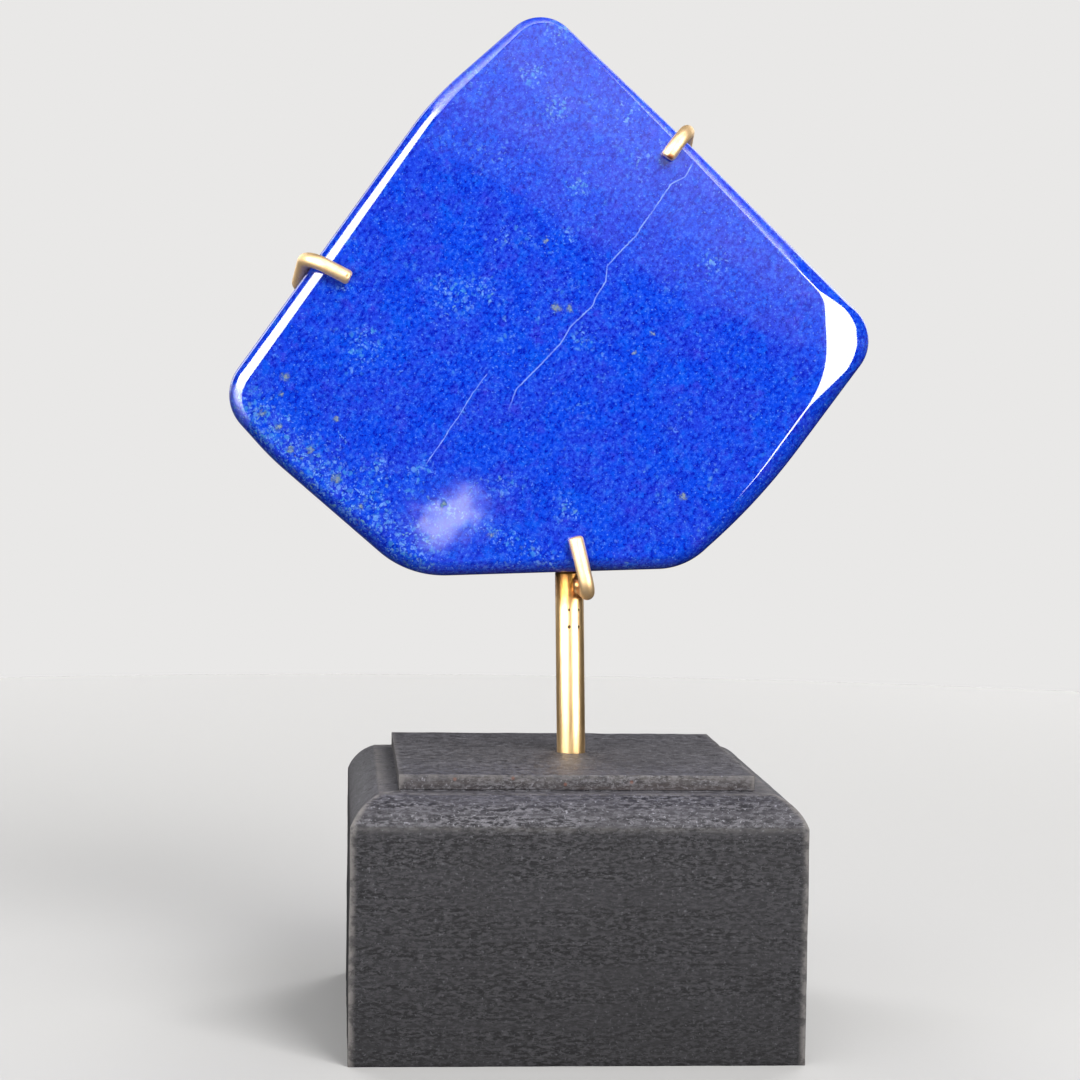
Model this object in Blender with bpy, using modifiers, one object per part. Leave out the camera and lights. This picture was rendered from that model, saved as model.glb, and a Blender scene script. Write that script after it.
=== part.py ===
"""A polished slab of lapis lazuli, held by brass wire prongs above a black wooden block.

Metres, +Z up. The origin is the middle of the block's underside, and the polished face looks along -Y.
"""

from math import atan2, ceil, cos, pi, radians, sin, sqrt, tan

import bmesh
import bpy
from mathutils import Matrix, Vector

MM = 0.001
# Room left between pieces that touch in the real object
GAP = 0.3 * MM

# Wooden block, square in plan: a plain wall, an ovolo, a narrow ledge and a raised plate
BLOCK_SIDE = 75.0 * MM
WALL_HEIGHT = 39.0 * MM
OVOLO_WIDTH = 4.9 * MM
OVOLO_HEIGHT = 5.0 * MM
OVOLO_TURN = radians(50)
OVOLO_STEPS = 6
PLATE_INSET = 8.0 * MM
PLATE_TOP = 46.7 * MM
ARRIS = 0.3 * MM
ARRIS_FROM = radians(40)

# Brass post, leaning a little to the left as it rises from its drilled hole
POST_RADIUS = 2.5 * MM
POST_FOOT_X = 1.55 * MM
POST_Y = 1.5 * MM
POST_LEAN = 0.0242
POST_TOP = 78.25 * MM
HOLE_DEPTH = 20.0 * MM
POST_SIDES = 32

# Slab of stone, its middle plane over the post
SLAB_Y = POST_Y
SLAB_THICKNESS = 18.0 * MM
EDGE_ROUND = 4.0 * MM
EDGE_FULLNESS = 2.4
EDGE_STEPS = 5
CORNER_STEP = radians(11)
# Corners of the slab in millimetres, clockwise from the top: place, radius at the rim, radius at the face
SLAB_CORNERS = [
    ("top", -5.5, 177.6, 6.8, 13.0),
    ("upper right bow", 18.3, 156.1, 900.0, 900.0),
    ("right", 55.7, 120.8, 7.4, 14.0),
    ("lower right bow", 34.2, 91.6, 110.0, 100.0),
    ("bottom right", 20.9, 79.5, 12.5, 15.0),
    ("bottom left", -27.4, 77.5, 16.9, 24.0),
    ("lower left bow", -51.6, 98.1, 48.0, 48.0),
    ("left", -61.0, 108.3, 7.4, 10.0),
    ("upper left bow", -24.1, 160.9, 52.0, 52.0),
]

SLAB_MIDDLE = Vector((-3.0, 127.0)) * MM

# Brass wire of the prongs and of the spine behind the slab
WIRE_RADIUS = 1.25 * MM
BEND_RADIUS = 3.5 * MM
TIGHT_BEND = 2.4 * MM
BEND_STEP = radians(15)
WIRE_ROUNDNESS = 4
# Distance of a wire's middle from the surface that it lies on
WIRE_OFF = WIRE_RADIUS + GAP
FACE_WIRE_Y = SLAB_Y - SLAB_THICKNESS / 2 - WIRE_OFF
BACK_WIRE_Y = SLAB_Y + SLAB_THICKNESS / 2 + WIRE_OFF

# Each side prong passes round the slab between two of its corners. Its tip, front bend and back bend are
# placed along that side from the first corner, and the tip lies in from the rim
SIDE_PRONGS = {
    "left_prong": {
        "side": ("upper left bow", "left"),
        "tip_along": 34.6 * MM,
        "tip_in": 6.0 * MM,
        "front_along": 36.0 * MM,
        "back_along": 39.6 * MM,
        "fork_height": 117.0 * MM,
    },
    "right_prong": {
        "side": ("upper right bow", "right"),
        "tip_along": 1.9 * MM,
        "tip_in": 5.0 * MM,
        "front_along": 1.0 * MM,
        "back_along": 3.8 * MM,
        "fork_height": 138.0 * MM,
    },
}

# The spine laps on to the back of the post, steps back and rises behind the slab
SPINE_FOOT_Z = 61.0 * MM
SPINE_BEND_Z = 72.5 * MM
SPINE_BACK_Z = 79.0 * MM
SPINE_TOP_X = -4.0 * MM
SPINE_TOP_Z = 142.0 * MM

# The bottom prong laps on to the front right of the post, runs forward and rises on the face
LAP_ANGLE = radians(-43)
LAP_BOTTOM_Z = 73.3 * MM
LAP_TOP_Z = 76.3 * MM
BOTTOM_FRONT_X = 3.2 * MM
BOTTOM_FRONT_Z = 77.0 * MM
BOTTOM_TIP_X = 0.9 * MM
BOTTOM_TIP_Z = 85.2 * MM

FINISHES = {
    "stone": ((0.018, 0.075, 0.78), 0.12, 0.0),
    "wood": ((0.055, 0.053, 0.056), 0.6, 0.0),
    "brass": ((0.79, 0.58, 0.28), 0.3, 1.0),
}


def clear_scene():
    for old in list(bpy.data.objects):
        bpy.data.objects.remove(old, do_unlink=True)


def new_collection(name):
    group = bpy.data.collections.new(name)
    bpy.context.scene.collection.children.link(group)
    return group


def finish(name, kind):
    colour, roughness, metallic = FINISHES[kind]
    material = bpy.data.materials.new(name)
    material.use_nodes = True
    shader = material.node_tree.nodes["Principled BSDF"]
    shader.inputs["Base Color"].default_value = (*colour, 1)
    shader.inputs["Roughness"].default_value = roughness
    shader.inputs["Metallic"].default_value = metallic
    return material


def add_object(name, data, group, kind=None):
    piece = bpy.data.objects.new(name, data)
    group.objects.link(piece)
    if kind:
        data.materials.append(finish(name + "_finish", kind))
    return piece


def add_mesh(name, bm, group, kind=None):
    bmesh.ops.recalc_face_normals(bm, faces=bm.faces[:])
    mesh = bpy.data.meshes.new(name)
    bm.to_mesh(mesh)
    bm.free()
    return add_object(name, mesh, group, kind)


def drawn_through(sections):
    """A closed mesh: the first section's face is extruded to each of the next sections in turn."""
    bm = bmesh.new()
    end = bm.faces.new([bm.verts.new(point) for point in sections[0]])
    for count, section in enumerate(sections[1:]):
        grown = bmesh.ops.extrude_face_region(bm, geom=[end])["geom"]
        if count:
            bmesh.ops.delete(bm, geom=[end], context="FACES_ONLY")
        end = next(item for item in grown if isinstance(item, bmesh.types.BMFace))
        for corner, point in zip(end.verts, section):
            corner.co = point
    return bm


def square(inset, height):
    half = BLOCK_SIDE / 2 - inset
    return [Vector((x * half, y * half, height)) for x, y in ((-1, -1), (1, -1), (1, 1), (-1, 1))]


def ovolo_levels():
    """Insets and heights along the ovolo, one arc that leaves the wall steeply and ends nearly level."""
    chord = sqrt(OVOLO_WIDTH**2 + OVOLO_HEIGHT**2)
    radius = chord / 2 / sin(OVOLO_TURN / 2)
    first = atan2(OVOLO_HEIGHT, OVOLO_WIDTH) + OVOLO_TURN / 2
    levels = []
    for step in range(1, OVOLO_STEPS + 1):
        turned = first - OVOLO_TURN * step / OVOLO_STEPS
        inset = radius * (sin(first) - sin(turned))
        height = WALL_HEIGHT + radius * (cos(turned) - cos(first))
        levels.append((inset, height))
    return levels


def post_axis(height):
    return Vector((POST_FOOT_X - POST_LEAN * (height - PLATE_TOP), POST_Y, height))


def rod_mesh(bottom, top, radius, sides):
    """A cylinder between two points, with its ends square to its axis."""
    bm = bmesh.new()
    axis = top - bottom
    turn = Vector((0, 0, 1)).rotation_difference(axis).to_matrix().to_4x4()
    place = Matrix.Translation((bottom + top) / 2) @ turn
    bmesh.ops.create_cone(
        bm, cap_ends=True, segments=sides, radius1=radius, radius2=radius, depth=axis.length, matrix=place
    )
    return bm


def build_base(group, cutters):
    levels = [(0, 0), (0, WALL_HEIGHT), *ovolo_levels()]
    levels += [(PLATE_INSET, levels[-1][1]), (PLATE_INSET, PLATE_TOP)]
    base = add_mesh("base", drawn_through([square(*level) for level in levels]), group, "wood")
    arris = base.modifiers.new("arris", "BEVEL")
    arris.width = ARRIS
    arris.segments = 1
    arris.limit_method = "ANGLE"
    arris.angle_limit = ARRIS_FROM
    hole_ends = post_axis(PLATE_TOP - HOLE_DEPTH), post_axis(PLATE_TOP + HOLE_DEPTH)
    drill = rod_mesh(*hole_ends, POST_RADIUS + GAP, POST_SIDES)
    cutter = add_mesh("post_hole", drill, cutters)
    cutter.display_type = "WIRE"
    cutter.hide_render = True
    hole = base.modifiers.new("hole", "BOOLEAN")
    hole.operation = "DIFFERENCE"
    hole.solver = "EXACT"
    hole.object = cutter


def build_post(group):
    bm = rod_mesh(post_axis(PLATE_TOP - HOLE_DEPTH + GAP), post_axis(POST_TOP), POST_RADIUS, POST_SIDES)
    post = add_mesh("post", bm, group, "brass")
    post.data.shade_smooth()
    post.data.set_sharp_from_angle(angle=ARRIS_FROM)


def corner_place(name):
    return next(Vector((x, z)) * MM for label, x, z, _, _ in SLAB_CORNERS if label == name)


def slab_section(inset, ease, depth):
    """Outline of the slab moved in by inset. ease 0 gives the rim's corner radii, and 1 the face's."""
    places = [Vector((x, z)) * MM for _, x, z, _, _ in SLAB_CORNERS]
    radii = [(rim + (face - rim) * ease) * MM for _, _, _, rim, face in SLAB_CORNERS]
    count = len(places)
    along = [(places[(i + 1) % count] - places[i]).normalized() for i in range(count)]
    points = []
    for i in range(count):
        before, after = along[i - 1], along[i]
        turn = before.angle(after)
        inward = (after - before).normalized()
        corner = places[i] + inward * inset / cos(turn / 2)
        centre = corner + inward * radii[i] / cos(turn / 2)
        outward = (corner - centre).normalized()
        steps = max(2, ceil(turn / CORNER_STEP))
        for step in range(steps + 1):
            spin = turn * (step / steps - 0.5)
            point = centre + radii[i] * Vector(
                (outward.x * cos(spin) + outward.y * sin(spin), outward.y * cos(spin) - outward.x * sin(spin))
            )
            points.append(Vector((point.x, SLAB_Y + depth, point.y)))
    return points


def build_stone(group):
    """The slab is drawn out from its back face to its polished face through sections with a full, round rim."""
    sections = []
    for step in range(-EDGE_STEPS, EDGE_STEPS + 1):
        spin = pi / 2 * abs(step) / EDGE_STEPS
        ease = 1 - cos(spin) ** (2 / EDGE_FULLNESS) if abs(step) < EDGE_STEPS else 1.0
        depth = SLAB_THICKNESS / 2 * sin(spin) ** (2 / EDGE_FULLNESS)
        sections.append(slab_section(EDGE_ROUND * ease, ease, -depth if step > 0 else depth))
    stone = add_mesh("stone", drawn_through(sections), group, "stone")
    stone.data.shade_smooth()


def bent_path(corners, radius):
    """Points along a wire that runs straight between the corners and is bent round at each of them."""
    points = [corners[0]]
    for before, corner, after in zip(corners, corners[1:], corners[2:]):
        arrive = (corner - before).normalized()
        leave = (after - corner).normalized()
        turn = arrive.angle(leave)
        reach = radius * tan(turn / 2)
        inward = (leave - arrive).normalized()
        centre = corner + inward * radius / cos(turn / 2)
        start = corner - arrive * reach - centre
        axis = arrive.cross(leave).normalized()
        steps = max(1, ceil(turn / BEND_STEP))
        for step in range(steps + 1):
            points.append(centre + Matrix.Rotation(turn * step / steps, 3, axis) @ start)
    points.append(corners[-1])
    return points


def build_wire(name, corners, group, radius=BEND_RADIUS):
    curve = bpy.data.curves.new(name, "CURVE")
    curve.dimensions = "3D"
    curve.bevel_depth = WIRE_RADIUS
    curve.bevel_resolution = WIRE_ROUNDNESS
    curve.use_fill_caps = True
    points = bent_path(corners, radius)
    spline = curve.splines.new("POLY")
    spline.points.add(len(points) - 1)
    for knot, point in zip(spline.points, points):
        knot.co = (*point, 1)
    add_object(name, curve, group, "brass")


def spine_at(height):
    """Middle of the spine's upright run at a height."""
    low = Vector((post_axis(SPINE_BEND_Z).x, BACK_WIRE_Y, SPINE_BACK_Z))
    high = Vector((SPINE_TOP_X, BACK_WIRE_Y, SPINE_TOP_Z))
    return low.lerp(high, (height - low.z) / (high.z - low.z))


def build_spine(group):
    back_of_post = Vector((0, POST_RADIUS + WIRE_OFF, 0))
    corners = [
        post_axis(SPINE_FOOT_Z) + back_of_post,
        post_axis(SPINE_BEND_Z) + back_of_post,
        spine_at(SPINE_BACK_Z),
        spine_at(SPINE_TOP_Z),
    ]
    build_wire("spine", corners, group)


def beside_rim(side, along, out, y):
    """A point at a distance along a side of the slab from its first corner, and out from the rim."""
    first, last = corner_place(side[0]), corner_place(side[1])
    run = (last - first).normalized()
    outward = Vector((-run.y, run.x))
    if outward.dot(first - SLAB_MIDDLE) < 0:
        outward = -outward
    point = first + run * along + outward * out
    return Vector((point.x, y, point.y))


def build_side_prong(name, group):
    """Wire from the spine to the slab's side, bent round the rim and down on to the face."""
    prong = SIDE_PRONGS[name]
    rim_back = beside_rim(prong["side"], prong["back_along"], WIRE_OFF, BACK_WIRE_Y)
    fork = spine_at(prong["fork_height"])
    run = (rim_back - fork).normalized()
    # The wire's flat end stands off the spine's round side, by its own slant as well
    end = fork + run * (WIRE_OFF + WIRE_RADIUS * abs(run.z)) / abs(run.x)
    corners = [
        beside_rim(prong["side"], prong["tip_along"], -prong["tip_in"], FACE_WIRE_Y),
        beside_rim(prong["side"], prong["front_along"], WIRE_OFF, FACE_WIRE_Y),
        rim_back,
        end,
    ]
    build_wire(name, corners, group)


def build_bottom_prong(group):
    lap = Vector((cos(LAP_ANGLE), sin(LAP_ANGLE), 0)) * (POST_RADIUS + WIRE_OFF)
    corners = [
        post_axis(LAP_BOTTOM_Z) + lap,
        post_axis(LAP_TOP_Z) + lap,
        Vector((BOTTOM_FRONT_X, FACE_WIRE_Y, BOTTOM_FRONT_Z)),
        Vector((BOTTOM_TIP_X, FACE_WIRE_Y, BOTTOM_TIP_Z)),
    ]
    build_wire("bottom_prong", corners, group, TIGHT_BEND)


clear_scene()
pieces = new_collection("lapis_lazuli")
cutters = new_collection("cutters")
build_base(pieces, cutters)
build_post(pieces)
build_stone(pieces)
build_spine(pieces)
for prong_name in SIDE_PRONGS:
    build_side_prong(prong_name, pieces)
build_bottom_prong(pieces)
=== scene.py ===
from math import asin, ceil, cos, pi, radians, sin, sqrt, tan

import bmesh
import bpy
from mathutils import Matrix, Vector


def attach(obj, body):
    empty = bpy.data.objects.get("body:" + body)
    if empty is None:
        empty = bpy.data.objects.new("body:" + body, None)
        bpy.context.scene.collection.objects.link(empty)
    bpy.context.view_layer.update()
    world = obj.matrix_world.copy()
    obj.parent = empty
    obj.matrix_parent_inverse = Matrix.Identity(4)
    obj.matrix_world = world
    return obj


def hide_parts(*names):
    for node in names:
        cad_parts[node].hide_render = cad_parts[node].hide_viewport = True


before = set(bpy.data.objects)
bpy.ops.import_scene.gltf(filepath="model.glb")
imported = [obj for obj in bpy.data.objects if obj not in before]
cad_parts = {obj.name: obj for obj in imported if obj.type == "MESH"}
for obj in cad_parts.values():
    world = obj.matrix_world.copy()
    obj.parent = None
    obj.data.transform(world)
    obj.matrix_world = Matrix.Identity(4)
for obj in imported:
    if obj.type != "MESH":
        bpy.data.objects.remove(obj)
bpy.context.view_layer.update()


# Slab of lapis lazuli: one piece of stone, sawn, lapped flat in front and polished all over. Its edges are rolled
# over, widest at the right corner, and it rests on the post inside its prongs.
MM = 0.001
SLAB_Y = 1.5 * MM
SLAB_THICKNESS = 18.0 * MM
SLAB_FRONT_Y = SLAB_Y - SLAB_THICKNESS / 2
SLAB_BACK_Y = SLAB_Y + SLAB_THICKNESS / 2
# Corners clockwise from the top, in mm: x, z and radius at the rim, the same at the flat face's edge, and the
# depth of the roll between the two
SLAB_CORNERS = [
    ((-6.0, 176.6, 6.8), (-5.6, 175.4, 6.0), 2.0),
    ((17.4, 155.3, 300.0), (16.3, 154.1, 300.0), 1.6),
    ((51.9, 123.1, 7.2), (43.3, 127.4, 4.0), 3.6),
    ((52.4, 117.6, 7.2), (44.3, 112.7, 18.0), 3.6),
    ((33.5, 91.8, 110.0), (30.7, 93.7, 60.0), 3.2),
    ((20.4, 79.7, 12.5), (19.2, 82.0, 10.0), 3.2),
    ((-27.5, 77.8, 16.9), (-25.9, 80.4, 14.0), 3.2),
    ((-51.5, 98.2, 48.0), (-50.4, 99.3, 30.0), 2.8),
    ((-60.7, 108.3, 7.4), (-57.7, 108.0, 5.0), 2.4),
    ((-24.3, 160.1, 52.0), (-21.7, 159.3, 40.0), 1.8),
]
BACK_ROLL_WIDTH = 3.4
BACK_ROLL_DEPTH = 3.2 * MM
RIM_BULGE = 0.3
FACE_CROWN = 0.12 * MM
ARC_STEPS = 20
RUN_STEP = 0.7
ROLL_STEPS = 18
EDGE_TURN = radians(15)
FACE_SHARES = (0.997, 0.985, 0.95, 0.88, 0.76, 0.6, 0.42, 0.22, 0.06)


def named(name):
    """The primitive that was just added, with its place taken into its mesh."""
    piece = bpy.context.object
    piece.name = name
    piece.data.name = name
    bpy.ops.object.transform_apply(location=True, rotation=True, scale=True)
    return piece


def lay_face_on(mesh, ring):
    """Lays the corners of the one selected face on the points of a ring, in order."""
    bm = bmesh.from_edit_mesh(mesh)
    face = next(face for face in bm.faces if face.select)
    for corner, point in zip(face.verts, ring):
        corner.co = point
    bmesh.update_edit_mesh(mesh)


def draw_through(mesh, rings):
    """Extrudes the selected face to each ring in turn."""
    for ring in rings:
        bpy.ops.mesh.extrude_region_move()
        lay_face_on(mesh, ring)


def smoothly(share):
    return share * share * (3 - 2 * share)


def moved_in(corners, width):
    """The corners of an outline with every side and every rounding moved in by a width."""
    places = [Vector(corner[:2]) for corner in corners]
    inner = []
    for i, (place, corner) in enumerate(zip(places, corners)):
        before = (place - places[i - 1]).normalized()
        after = (places[(i + 1) % len(places)] - place).normalized()
        slide = width * (cos(before.angle(after)) - 1) / sin(before.angle(after))
        point = place + Vector((before.y, -before.x)) * width + before * slide
        inner.append((point.x, point.y, corner[2] - width))
    return inner


def rounded(corners, steps_along):
    """Points round an outline with its corners rounded, and a given count of steps on each straight run."""
    places = [Vector(corner[:2]) for corner in corners]
    arcs = []
    for i, (place, corner) in enumerate(zip(places, corners)):
        before = (place - places[i - 1]).normalized()
        after = (places[(i + 1) % len(places)] - place).normalized()
        turn, radius = before.angle(after), corner[2]
        centre = place + (after - before).normalized() * radius / cos(turn / 2)
        outward = (place - centre).normalized()
        arc = []
        for step in range(ARC_STEPS + 1):
            spin = turn * (step / ARC_STEPS - 0.5)
            turned = (outward.x * cos(spin) + outward.y * sin(spin), outward.y * cos(spin) - outward.x * sin(spin))
            arc.append(centre + radius * Vector(turned))
        arcs.append(arc)
    points = []
    for i, steps in enumerate(steps_along):
        points += arcs[i]
        start, end = arcs[i][-1], arcs[(i + 1) % len(arcs)][0]
        points += [start.lerp(end, step / steps) for step in range(1, steps)]
    return [point * MM for point in points]


def slab_rings():
    """Rings of points from the middle of the back face, over the rim, to the middle of the polished face."""
    rim_corners = [rim for rim, _, _ in SLAB_CORNERS]
    steps_along, depths = [], []
    for i, (rim, _, depth) in enumerate(SLAB_CORNERS):
        following, _, next_depth = SLAB_CORNERS[(i + 1) % len(SLAB_CORNERS)]
        steps = ceil((Vector(following[:2]) - Vector(rim[:2])).length / RUN_STEP)
        steps_along.append(steps)
        depths += [depth * MM] * (ARC_STEPS + 1)
        depths += [(depth + (next_depth - depth) * smoothly(step / steps)) * MM for step in range(1, steps)]
    wall = rounded(rim_corners, steps_along)
    bulge = rounded(moved_in(rim_corners, -RIM_BULGE), steps_along)
    back = rounded(moved_in(rim_corners, BACK_ROLL_WIDTH), steps_along)
    face = rounded([face for _, face, _ in SLAB_CORNERS], steps_along)
    middle = sum(face, Vector((0, 0))) / len(face)
    rings = [[(middle.lerp(point, share), SLAB_BACK_Y) for point in back] for share in reversed(FACE_SHARES)]
    for step in range(ROLL_STEPS + 1):
        turned = pi / 2 * step / ROLL_STEPS
        y = SLAB_BACK_Y - BACK_ROLL_DEPTH * (1 - cos(turned))
        rings.append([(inner.lerp(outer, sin(turned)), y) for inner, outer in zip(back, wall)])
    for share in (0.3, 0.6):
        back_y = SLAB_BACK_Y - BACK_ROLL_DEPTH
        rings.append([
            (outer.lerp(widest, sin(pi * share)), back_y + (SLAB_FRONT_Y + depth - back_y) * share)
            for outer, widest, depth in zip(wall, bulge, depths)
        ])
    # The lapped face meets the front roll at a slight edge, so the roll starts already turned
    for step in range(ROLL_STEPS + 1):
        turned = pi / 2 + (EDGE_TURN - pi / 2) * step / ROLL_STEPS
        across = (sin(turned) - sin(EDGE_TURN)) / (1 - sin(EDGE_TURN))
        down = 1 - cos(turned) / cos(EDGE_TURN)
        rings.append([
            (inner.lerp(outer, across), SLAB_FRONT_Y + depth * down)
            for inner, outer, depth in zip(face, wall, depths)
        ])
    for share in FACE_SHARES:
        crown = FACE_CROWN * (1 - share * share)
        rings.append([(middle.lerp(point, share), SLAB_FRONT_Y - crown) for point in face])
    return [[Vector((point.x, y, point.y)) for point, y in ring] for ring in rings]


rings = slab_rings()
bpy.ops.object.select_all(action="DESELECT")
bpy.ops.mesh.primitive_circle_add(vertices=len(rings[0]), radius=SLAB_THICKNESS, fill_type="NGON")
slab = named("lapis_slab")
bpy.ops.object.mode_set(mode="EDIT")
bpy.ops.mesh.select_all(action="SELECT")
lay_face_on(slab.data, rings[0])
draw_through(slab.data, rings[1:])
bpy.ops.mesh.merge(type="CENTER")
bpy.ops.mesh.select_all(action="DESELECT")
bm = bmesh.from_edit_mesh(slab.data)
next(face for face in bm.faces if len(face.verts) == len(rings[0])).select_set(True)
bmesh.update_edit_mesh(slab.data)
bpy.ops.mesh.merge(type="CENTER")
bpy.ops.mesh.select_all(action="SELECT")
bpy.ops.mesh.normals_make_consistent(inside=False)
bpy.ops.object.mode_set(mode="OBJECT")
bpy.ops.object.shade_smooth()


def colour_of(code):
    """Linear colour of an sRGB hex code, with an alpha of one."""
    parts = [int(code[i : i + 2], 16) / 255 for i in (1, 3, 5)]
    return (*[part / 12.92 if part <= 0.04045 else ((part + 0.055) / 1.055) ** 2.4 for part in parts], 1.0)


def new_finish(name, colour, roughness, metallic=0.0, ior=1.5, specular=0.5):
    """A material with its even values set on its shader, then its tree, its shader and its object coordinates."""
    finish = bpy.data.materials.new(name)
    finish.use_nodes = True
    tree = finish.node_tree
    shader = tree.nodes["Principled BSDF"]
    shader.inputs["Base Color"].default_value = colour_of(colour)
    shader.inputs["Roughness"].default_value = roughness
    shader.inputs["Metallic"].default_value = metallic
    shader.inputs["IOR"].default_value = ior
    shader.inputs["Specular IOR Level"].default_value = specular
    place = tree.nodes.new("ShaderNodeTexCoord").outputs["Object"]
    return finish, tree, shader, place


def add_node(tree, kind, inputs, output=0, **settings):
    """Adds a node with its settings, gives its inputs values or links, by name or in order, and returns an output."""
    node = tree.nodes.new("ShaderNode" + kind)
    for name, value in settings.items():
        setattr(node, name, value)
    for name, value in inputs.items() if isinstance(inputs, dict) else enumerate(inputs):
        if isinstance(value, bpy.types.NodeSocket):
            tree.links.new(value, node.inputs[name])
        else:
            node.inputs[name].default_value = value
    return node.outputs[output]


SOFT = {"interpolation_type": "SMOOTHSTEP"}
TINT = {"data_type": "RGBA", "output": 2}


def tinted(tree, body, layers):
    """Lays tints over a colour, each where its pattern goes from one value to another, up to its share."""
    for pattern, start, full, share, tint in layers:
        amount = add_node(tree, "MapRange", [pattern, start, full, 0.0, share], **SOFT)
        body = add_node(tree, "Mix", {0: amount, 6: body, 7: colour_of(tint)}, **TINT)
    return body


def near_to(tree, place, centre, inner, outer):
    """One within the inner distance of a point in mm, and nothing past the outer."""
    distance = add_node(tree, "VectorMath", [place, Vector(centre) * MM], output="Value", operation="DISTANCE")
    return add_node(tree, "MapRange", [distance, inner * MM, outer * MM, 1.0, 0.0], **SOFT)


# Polished lapis: lazurite grains give the deep ultramarine, with azure and violet drifts, dark threads along the
# foliation and paler grains where calcite is mixed in. Grains are 0.4 to 0.8 mm and drifts 3 to 10 mm wide.
lapis, tree, shader, place = new_finish("polished_lapis_lazuli", "#1437BD", 0.05, specular=1.0)
FOLIATION = radians(-52)
foliated = add_node(
    tree, "Mapping", {"Vector": place, "Rotation": (0, FOLIATION, 0), "Scale": (3.5, 1, 1)}, vector_type="TEXTURE"
)
drift = add_node(tree, "TexNoise", {"Vector": place, "Scale": 1 / (8 * MM), "Detail": 3.0, "Roughness": 0.6})
azure = add_node(tree, "TexNoise", {"Vector": place, "Scale": 1 / (2.6 * MM), "Detail": 4.0, "Roughness": 0.65})
violet = add_node(tree, "TexNoise", {"Vector": place, "Scale": 1 / (3.4 * MM), "Detail": 4.0, "Roughness": 0.65})
threads = add_node(tree, "TexNoise", {"Vector": foliated, "Scale": 1 / (0.7 * MM), "Detail": 3.0, "Roughness": 0.6})
grain = add_node(tree, "TexNoise", {"Vector": place, "Scale": 1 / (0.6 * MM), "Detail": 3.0, "Roughness": 0.7})
sparkle = add_node(tree, "TexNoise", {"Vector": place, "Scale": 1 / (0.42 * MM), "Detail": 1.0})
body = tinted(tree, colour_of("#053AC8"), [
    (drift, 0.42, 0.58, 0.9, "#1C36C2"),
    (azure, 0.5, 0.68, 0.85, "#044CCE"),
    (violet, 0.54, 0.72, 0.6, "#3636C0"),
    (threads, 0.5, 0.3, 0.8, "#041FA8"),
    (grain, 0.5, 0.32, 0.95, "#03149A"),
    (grain, 0.5, 0.7, 0.85, "#2E5ED0"),
    (sparkle, 0.64, 0.76, 0.6, "#5C8CD4"),
])

# Calcite: pale flecks, thick in a few clusters and in a band along the lower left side
CALCITE_CLUSTERS = [
    (0.9, 145.7, 2.6), (-7.8, 164.3, 2.4), (-3.4, 158.0, 3.4), (24.1, 132.8, 3.0), (-35.8, 117.8, 4.2),
    (-20.3, 126.6, 5.0), (-15.2, 127.3, 3.0), (-1.0, 136.8, 2.0), (1.6, 119.4, 2.6), (-39.9, 101.7, 1.6),
    (-2.9, 172.5, 3.0), (-26.0, 96.3, 3.0), (-32.6, 97.1, 2.6), (-0.5, 90.0, 3.0), (9.0, 158.0, 2.5),
]
BAND_ENDS = (Vector((-57.5, 0, 107.5)), Vector((-24.0, 0, 80.5)))
BAND_WIDTH = 8.0
STREAK_ENDS = (Vector((-37.0, 0, 97.0)), Vector((-1.6, 0, 80.5)))
STREAK_WIDTH = 3.2


def along_line(tree, place, ends, width):
    """One on the upright plane through two points in mm, and nothing past the width on either side of it."""
    run = (ends[1] - ends[0]) * MM
    side = Vector((-run.z, 0, run.x)).normalized()
    run /= run.length_squared
    off = add_node(tree, "VectorMath", [place, side], output="Value", operation="DOT_PRODUCT")
    off = add_node(tree, "Math", [off, side.dot(ends[0]) * MM], operation="SUBTRACT")
    off = add_node(tree, "Math", [off], operation="ABSOLUTE")
    beside = add_node(tree, "MapRange", [off, 0.0, width * MM, 1.0, 0.0], **SOFT)
    reach = add_node(tree, "VectorMath", [place, run], output="Value", operation="DOT_PRODUCT")
    reach = add_node(tree, "Math", [reach, run.dot(ends[0]) * MM], operation="SUBTRACT")
    started = add_node(tree, "MapRange", [reach, -0.08, 0.05, 0.0, 1.0], **SOFT)
    ended = add_node(tree, "MapRange", [reach, 1.08, 0.95, 0.0, 1.0], **SOFT)
    within = add_node(tree, "Math", [started, ended], operation="MULTIPLY")
    return add_node(tree, "Math", [beside, within], operation="MULTIPLY")


scatter = add_node(tree, "TexNoise", {"Vector": place, "Scale": 1 / (7 * MM), "Detail": 2.0, "Roughness": 0.6})
clusters = add_node(tree, "MapRange", [scatter, 0.5, 0.72, 0.08, 0.5], **SOFT)
for x, z, reach in CALCITE_CLUSTERS:
    cluster = near_to(tree, place, (x, SLAB_FRONT_Y / MM, z), 0.0, reach * 1.5)
    clusters = add_node(tree, "Math", [clusters, cluster], operation="MAXIMUM")
band = along_line(tree, place, BAND_ENDS, BAND_WIDTH)
streak = along_line(tree, place, STREAK_ENDS, STREAK_WIDTH)
for line, share in ((band, 1.0), (streak, 0.75)):
    line = add_node(tree, "Math", [line, share], operation="MULTIPLY")
    clusters = add_node(tree, "Math", [clusters, line], operation="MAXIMUM")
WANDER = 1.7 * MM
ragged = add_node(tree, "TexNoise", {"Vector": place, "Scale": 1 / (0.9 * MM), "Detail": 3.0}, output=1)
ragged = add_node(tree, "VectorMath", [ragged, (0.5, 0.5, 0.5)], operation="SUBTRACT")
ragged = add_node(tree, "VectorMath", {0: ragged, "Scale": WANDER}, operation="SCALE")
ragged = add_node(tree, "VectorMath", [place, ragged], operation="ADD")
bar = add_node(tree, "MapRange", [clusters, 0.0, 1.0, 1.0, 0.34])
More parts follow.
